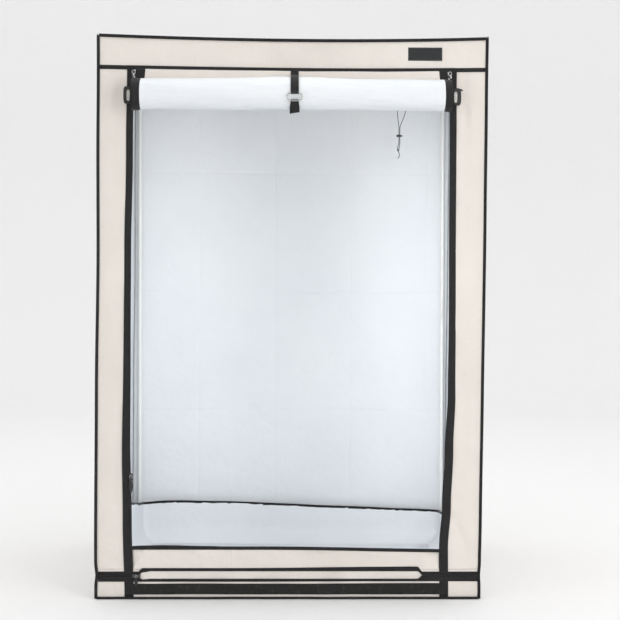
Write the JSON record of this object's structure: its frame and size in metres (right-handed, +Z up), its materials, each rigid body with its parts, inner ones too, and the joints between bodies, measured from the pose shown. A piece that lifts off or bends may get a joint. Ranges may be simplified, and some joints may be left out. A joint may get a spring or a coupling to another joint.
{
  "type": "fabric grow tent",
  "caption": "Free-standing cream fabric grow tent on a pole frame, with a rolled-up zip door, bound black edges, a flood tray and a drawstring duct sleeve.",
  "frame": {"origin": "on the floor, centre of the ground sheet's underside", "axes": "+Z up, -Y out of the front with the door, +X to the right seen from the front"},
  "size_m": [1.212, 1.027, 1.8],
  "materials": {
    "cream_fabric": "matte coated weave",
    "lining_fabric": "satin coated lining",
    "ground_fabric": "matte coated weave",
    "black_tape": "matte woven tape",
    "drawcord": "braided",
    "pole_enamel": "gloss enamel",
    "connector_plastic": "moulded",
    "black_plastic": "moulded",
    "zip_metal": "polished"
  },
  "bodies": {
    "shell_and_frame": {"lower_pole_front_left": "pole_enamel", "lower_pole_front_right": "pole_enamel", "lower_pole_rear_left": "pole_enamel", "lower_pole_rear_right": "pole_enamel", "upper_pole_front_left": "pole_enamel", "upper_pole_front_right": "pole_enamel", "upper_pole_rear_left": "pole_enamel", "upper_pole_rear_right": "pole_enamel", "bottom_rail_front": "pole_enamel", "bottom_rail_rear": "pole_enamel", "bottom_rail_left": "pole_enamel", "bottom_rail_right": "pole_enamel", "top_rail_front": "pole_enamel", "top_rail_rear": "pole_enamel", "top_rail_left": "pole_enamel", "top_rail_right": "pole_enamel", "bottom_connector_front_left": "connector_plastic", "bottom_connector_front_right": "connector_plastic", "bottom_connector_rear_left": "connector_plastic", "bottom_connector_rear_right": "connector_plastic", "top_connector_front_left": "connector_plastic", "top_connector_front_right": "connector_plastic", "top_connector_rear_left": "connector_plastic", "top_connector_rear_right": "connector_plastic", "roof": "cream_fabric", "rear_wall": "cream_fabric", "left_wall": "cream_fabric", "right_wall": "cream_fabric", "front_header": "cream_fabric", "left_stile": "cream_fabric", "right_stile": "cream_fabric", "sill_panel": "cream_fabric", "base_panel": "cream_fabric", "duct_sleeve": "cream_fabric", "ground_sheet": "ground_fabric", "left_door_zip": "black_tape", "right_door_zip": "black_tape", "base_zip": "black_tape", "hook_loop_strip": "black_tape", "label_patch": "black_tape", "drawstring_left": "drawcord", "drawstring_right": "drawcord", "upper_left_slider": "zip_metal", "upper_right_slider": "zip_metal"},
    "front_light_bar": {"front_light_bar": "pole_enamel"},
    "rear_light_bar": {"rear_light_bar": "pole_enamel"},
    "flood_tray": {"flood_tray": "lining_fabric"},
    "door_roll": {"rolled_door": "lining_fabric", "centre_strap": "black_tape", "strap_tail": "black_tape"},
    "strap_ring": {"strap_ring": "zip_metal"},
    "left_hold_loop": {"left_hold_loop": "black_tape"},
    "right_hold_loop": {"right_hold_loop": "black_tape"},
    "left_zip_slider": {"left_zip_slider": "zip_metal"},
    "left_zip_pull": {"left_zip_pull": "black_plastic"},
    "upper_left_pull": {"upper_left_pull": "zip_metal"},
    "upper_right_pull": {"upper_right_pull": "zip_metal"},
    "base_zip_slider": {"base_zip_slider": "zip_metal"},
    "base_zip_pull": {"base_zip_pull": "black_plastic"},
    "cord_lock": {"cord_lock": "black_plastic"}
  },
  "joints": [
    {"name": "front_light_bar_slide", "type": "slide", "parent": "shell_and_frame", "child": "front_light_bar", "axis": [0, 1, 0], "range_m": [-0.24, 0.1]},
    {"name": "rear_light_bar_slide", "type": "slide", "parent": "shell_and_frame", "child": "rear_light_bar", "axis": [0, 1, 0], "range_m": [-0.07, 0.08]},
    {"name": "flood_tray_lift", "type": "slide", "parent": "shell_and_frame", "child": "flood_tray", "axis": [0, 0, 1], "range_m": [0, 0.25]},
    {"name": "door_roll_swing", "type": "hinge", "parent": "shell_and_frame", "child": "door_roll", "pos_m": [0, -0.4585, 1.697], "axis": [-1, 0, 0], "range_deg": [0, 40]},
    {"name": "strap_ring_swing", "type": "hinge", "parent": "door_roll", "child": "strap_ring", "pos_m": [0.006, -0.569, 1.6055], "axis": [-1, 0, 0], "range_deg": [0, 75]},
    {"name": "left_hold_loop_swing", "type": "hinge", "parent": "shell_and_frame", "child": "left_hold_loop", "pos_m": [-0.515, -0.4581, 1.612], "axis": [0, 0, 1], "range_deg": [0, 60]},
    {"name": "right_hold_loop_swing", "type": "hinge", "parent": "shell_and_frame", "child": "right_hold_loop", "pos_m": [0.515, -0.4581, 1.612], "axis": [0, 0, -1], "range_deg": [0, 60]},
    {"name": "left_zip_slider_slide", "type": "slide", "parent": "shell_and_frame", "child": "left_zip_slider", "axis": [0, 0, 1], "range_m": [-0.2, 1.1]},
    {"name": "left_zip_pull_swing", "type": "hinge", "parent": "left_zip_slider", "child": "left_zip_pull", "pos_m": [-0.511, -0.4652, 0.399], "axis": [-1, 0, 0], "range_deg": [0, 110]},
    {"name": "upper_left_pull_swing", "type": "hinge", "parent": "shell_and_frame", "child": "upper_left_pull", "pos_m": [-0.505, -0.4652, 1.687], "axis": [-1, 0, 0], "range_deg": [0, 8]},
    {"name": "upper_right_pull_swing", "type": "hinge", "parent": "shell_and_frame", "child": "upper_right_pull", "pos_m": [0.505, -0.4652, 1.687], "axis": [-1, 0, 0], "range_deg": [0, 8]},
    {"name": "base_zip_slider_slide", "type": "slide", "parent": "shell_and_frame", "child": "base_zip_slider", "axis": [1, 0, 0], "range_m": [0, 0.88]},
    {"name": "base_zip_pull_swing", "type": "hinge", "parent": "base_zip_slider", "child": "base_zip_pull", "pos_m": [-0.494, -0.4652, 0.078], "axis": [-1, 0, 0], "range_deg": [0, 110]},
    {"name": "cord_lock_slide", "type": "slide", "parent": "shell_and_frame", "child": "cord_lock", "axis": [0, 0, 1], "range_m": [-0.01, 0.025]}
  ]
}
